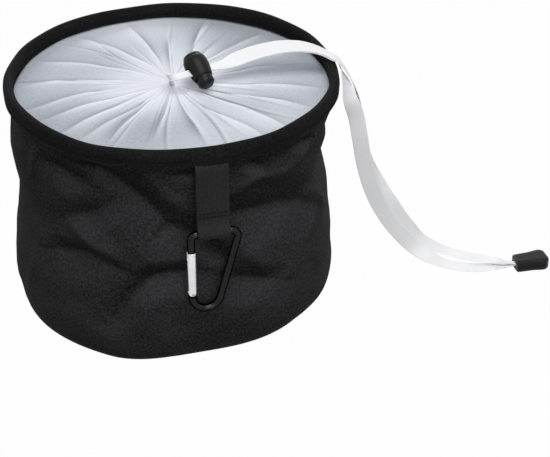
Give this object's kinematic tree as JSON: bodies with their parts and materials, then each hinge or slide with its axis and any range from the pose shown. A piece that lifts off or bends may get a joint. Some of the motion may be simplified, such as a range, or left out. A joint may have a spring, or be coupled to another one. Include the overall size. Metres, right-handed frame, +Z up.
{
  "type": "hanging peg basket",
  "caption": "Round soft cloth basket with a wire-stiffened rim, a gathered net cover drawn shut by a ribbon with a spring cord lock, and a webbing tab with a snap carabiner to hang it.",
  "frame": {"origin": "middle of the base's underside, where the basket stands", "axes": "+Z up to the rim, -Y out through the hanging tab, +X towards the side where the ribbon falls over the rim"},
  "size_m": [0.3358, 0.2055, 0.1651],
  "materials": {
    "black_cloth": "plain woven polyester, matt with a faint sheen",
    "black_tape": "woven binding tape",
    "white_net": "fine knitted net",
    "white_ribbon": "satin ribbon",
    "black_plastic": "satin moulded",
    "webbing": "ribbed webbing",
    "black_metal": "black anodised",
    "bright_metal": "polished",
    "spring_steel": "drawn wire"
  },
  "bodies": {
    "basket": {"side_wall": "black_cloth", "base_panel": "black_cloth", "base_seam_tape": "black_tape", "side_seam_tape": "black_tape", "rim_binding": "black_tape", "rim_hoop": "spring_steel", "hoop_ferrule": "spring_steel", "mesh_cover": "white_net", "cover_hem": "white_net", "drawstring_loop": "white_ribbon", "ribbon_left": "white_ribbon", "ribbon_right": "white_ribbon", "cord_end_upper": "black_plastic", "cord_end_lower": "black_plastic", "drawstring_knot": "white_ribbon"},
    "lock": {"lock_barrel": "black_plastic", "lock_spring": "spring_steel"},
    "plunger": {"lock_plunger": "black_plastic"},
    "tab": {"hang_tab": "webbing"},
    "carabiner": {"carabiner_body": "black_metal"},
    "gate": {"carabiner_gate": "bright_metal", "gate_rivet": "bright_metal", "gate_latch_pin": "bright_metal", "gate_spring": "spring_steel"}
  },
  "joints": [
    {"name": "tab_flip", "type": "hinge", "parent": "basket", "child": "tab", "pos_m": [0, -0.1015, 0.1414], "axis": [-1, 0, 0], "range_deg": [0, 165]},
    {"name": "carabiner_swing", "type": "hinge", "parent": "tab", "child": "carabiner", "pos_m": [0, -0.1015, 0.09775], "axis": [-1, 0, 0], "range_deg": [0, 120]},
    {"name": "gate_open", "type": "hinge", "parent": "carabiner", "child": "gate", "pos_m": [-0.0131, -0.1015, 0.05917], "axis": [0, 1, 0], "range_deg": [0, 38], "stiffness_Nm_per_rad": 0.06, "springref_deg": -20.05, "deforming": ["gate_spring"]},
    {"name": "lock_slide", "type": "slide", "parent": "basket", "child": "lock", "axis": [0.9563, 0.2924, 0], "range_m": [0, 0.01]},
    {"name": "plunger_press", "type": "slide", "parent": "lock", "child": "plunger", "axis": [-0.2506, 0.8197, 0.515], "range_m": [0, 0.0035], "stiffness_N_per_m": 700, "springref_m": -0.004, "deforming": ["lock_spring"]}
  ]
}
